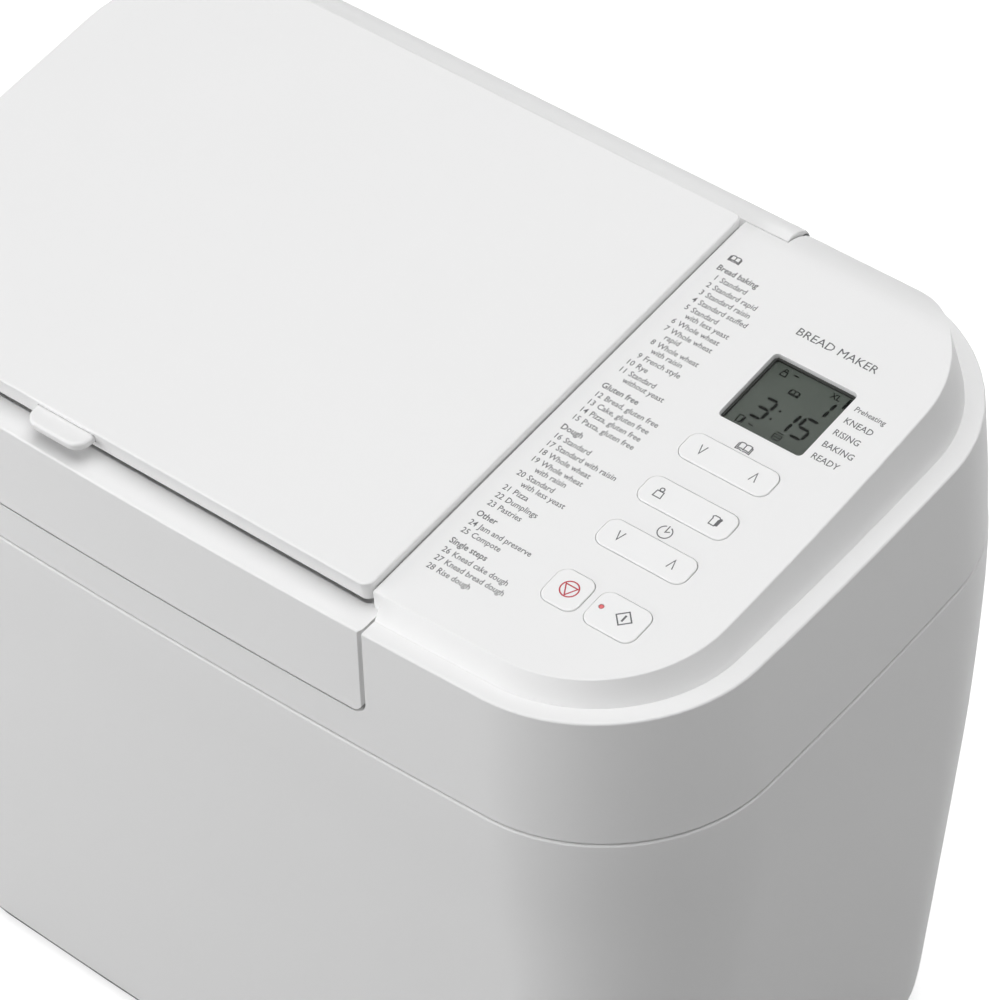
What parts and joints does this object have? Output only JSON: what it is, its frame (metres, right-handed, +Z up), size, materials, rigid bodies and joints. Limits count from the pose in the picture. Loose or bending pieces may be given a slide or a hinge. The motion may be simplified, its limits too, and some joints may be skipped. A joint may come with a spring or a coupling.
{
  "type": "bread machine",
  "caption": "Free-standing bread machine with a hinged lid and top cover, a sloping control panel with a display and keys, a lift-out bread pan and a belt-driven kneading blade.",
  "frame": {"origin": "on the table, at the centre of the overall box", "axes": "+Z up, -Y the front with the lid's lift tab, +X towards the control panel"},
  "size_m": [0.4082, 0.2534, 0.361],
  "materials": {
    "body_white": "satin white moulding",
    "key_white": "satin white key cap",
    "display_lens": "clear window over the display",
    "display_face": "grey-green display face",
    "circuit_board": "green board",
    "dark_plastic": "dark moulding",
    "grey_plastic": "grey moulding",
    "rubber": "black rubber",
    "steel": "bright steel",
    "aluminium": "plain aluminium sheet",
    "nonstick": "dark non-stick coating",
    "silicone": "pale silicone",
    "red_light": "red indicator"
  },
  "bodies": {
    "housing": {"body_shell": "body_white", "top_housing": "body_white", "control_panel": "body_white", "display_lens": "display_lens", "display_module": "display_face", "control_board": "circuit_board", "power_board": "circuit_board", "base_plate": "dark_plastic", "cord_gland": "dark_plastic", "motor_capacitor": "grey_plastic", "foot_1": "rubber", "foot_2": "rubber", "foot_3": "rubber", "foot_4": "rubber", "drive_belt": "rubber", "base_screw_1": "steel", "base_screw_2": "steel", "base_screw_3": "steel", "base_screw_4": "steel", "drive_bracket": "steel", "motor": "steel", "temperature_probe": "steel", "heating_element": "steel", "hinge_pin_left": "steel", "hinge_pin_right": "steel", "oven_chamber": "aluminium", "heat_shield": "aluminium", "shaft_bearing": "aluminium", "pan_mount": "aluminium", "start_led": "red_light"},
    "lid": {"lid_frame": "body_white", "hinge_roll": "body_white", "lid_inner_plate": "aluminium", "lid_seal": "silicone", "fruit_cup": "nonstick"},
    "top_cover": {"top_flap": "body_white", "flap_tab": "body_white"},
    "fruit_flap": {"fruit_door": "aluminium"},
    "output_drive": {"drive_shaft": "steel", "drive_coupling": "grey_plastic", "drive_pulley": "grey_plastic"},
    "motor_rotor": {"motor_shaft": "steel", "motor_pulley": "grey_plastic"},
    "pan": {"bread_pan": "nonstick", "pan_base_ring": "aluminium", "pan_bushing": "aluminium", "pan_ear_left": "steel", "pan_ear_right": "steel"},
    "blade": {"blade_shaft": "steel", "pan_coupling": "grey_plastic", "kneading_blade": "nonstick"},
    "bail": {"pan_handle": "steel"},
    "menu_rocker": {"menu_key": "key_white"},
    "size_rocker": {"size_key": "key_white"},
    "timer_rocker": {"timer_key": "key_white"},
    "stop_button": {"stop_key": "key_white"},
    "start_button": {"start_key": "key_white"}
  },
  "joints": [
    {"name": "lid_hinge", "type": "hinge", "parent": "housing", "child": "lid", "pos_m": [-0.052, 0.106, 0.3495], "axis": [-1, 0, 0], "range_deg": [0, 80]},
    {"name": "cover_hinge", "type": "hinge", "parent": "lid", "child": "top_cover", "pos_m": [-0.052, 0.106, 0.3495], "axis": [-1, 0, 0], "range_deg": [0, 75]},
    {"name": "fruit_flap_hinge", "type": "hinge", "parent": "lid", "child": "fruit_flap", "pos_m": [-0.058, 0.023, 0.298], "axis": [1, 0, 0], "range_deg": [0, 85]},
    {"name": "pan_lift", "type": "slide", "parent": "housing", "child": "pan", "axis": [0, 0, 1], "range_m": [0, 0.025]},
    {"name": "bail_swing", "type": "hinge", "parent": "pan", "child": "bail", "pos_m": [-0.052, -0.006, 0.232], "axis": [1, 0, 0], "range_deg": [0, 18]},
    {"name": "drive_spin", "type": "hinge", "parent": "housing", "child": "output_drive", "pos_m": [-0.052, -0.006, 0.098], "axis": [0, 0, 1], "continuous": true},
    {"name": "motor_spin", "type": "hinge", "parent": "housing", "child": "motor_rotor", "pos_m": [0.118, -0.006, 0.031], "axis": [0, 0, 1], "continuous": true},
    {"name": "blade_spin", "type": "hinge", "parent": "pan", "child": "blade", "pos_m": [-0.052, -0.006, 0.124], "axis": [0, 0, 1], "continuous": true},
    {"name": "menu_rock", "type": "hinge", "parent": "housing", "child": "menu_rocker", "pos_m": [0.1456, 0.0002, 0.35053], "axis": [0, 0.9971, 0.0758], "range_deg": [-1.5, 1.5], "stiffness_Nm_per_rad": 0.6},
    {"name": "size_rock", "type": "hinge", "parent": "housing", "child": "size_rocker", "pos_m": [0.1456, -0.023, 0.34876], "axis": [0, 0.9971, 0.0758], "range_deg": [-1.5, 1.5], "stiffness_Nm_per_rad": 0.6},
    {"name": "timer_rock", "type": "hinge", "parent": "housing", "child": "timer_rocker", "pos_m": [0.1456, -0.0462, 0.347], "axis": [0, 0.9971, 0.0758], "range_deg": [-1.5, 1.5], "stiffness_Nm_per_rad": 0.6},
    {"name": "stop_press", "type": "slide", "parent": "housing", "child": "stop_button", "axis": [0, 0.0758, -0.9971], "range_m": [0, 0.0006], "stiffness_N_per_m": 500},
    {"name": "start_press", "type": "slide", "parent": "housing", "child": "start_button", "axis": [0, 0.0758, -0.9971], "range_m": [0, 0.0006], "stiffness_N_per_m": 500}
  ],
  "couplings": [
    {"joint": "motor_spin", "follows": "drive_spin", "ratio": 4},
    {"joint": "blade_spin", "follows": "drive_spin", "ratio": 1}
  ]
}
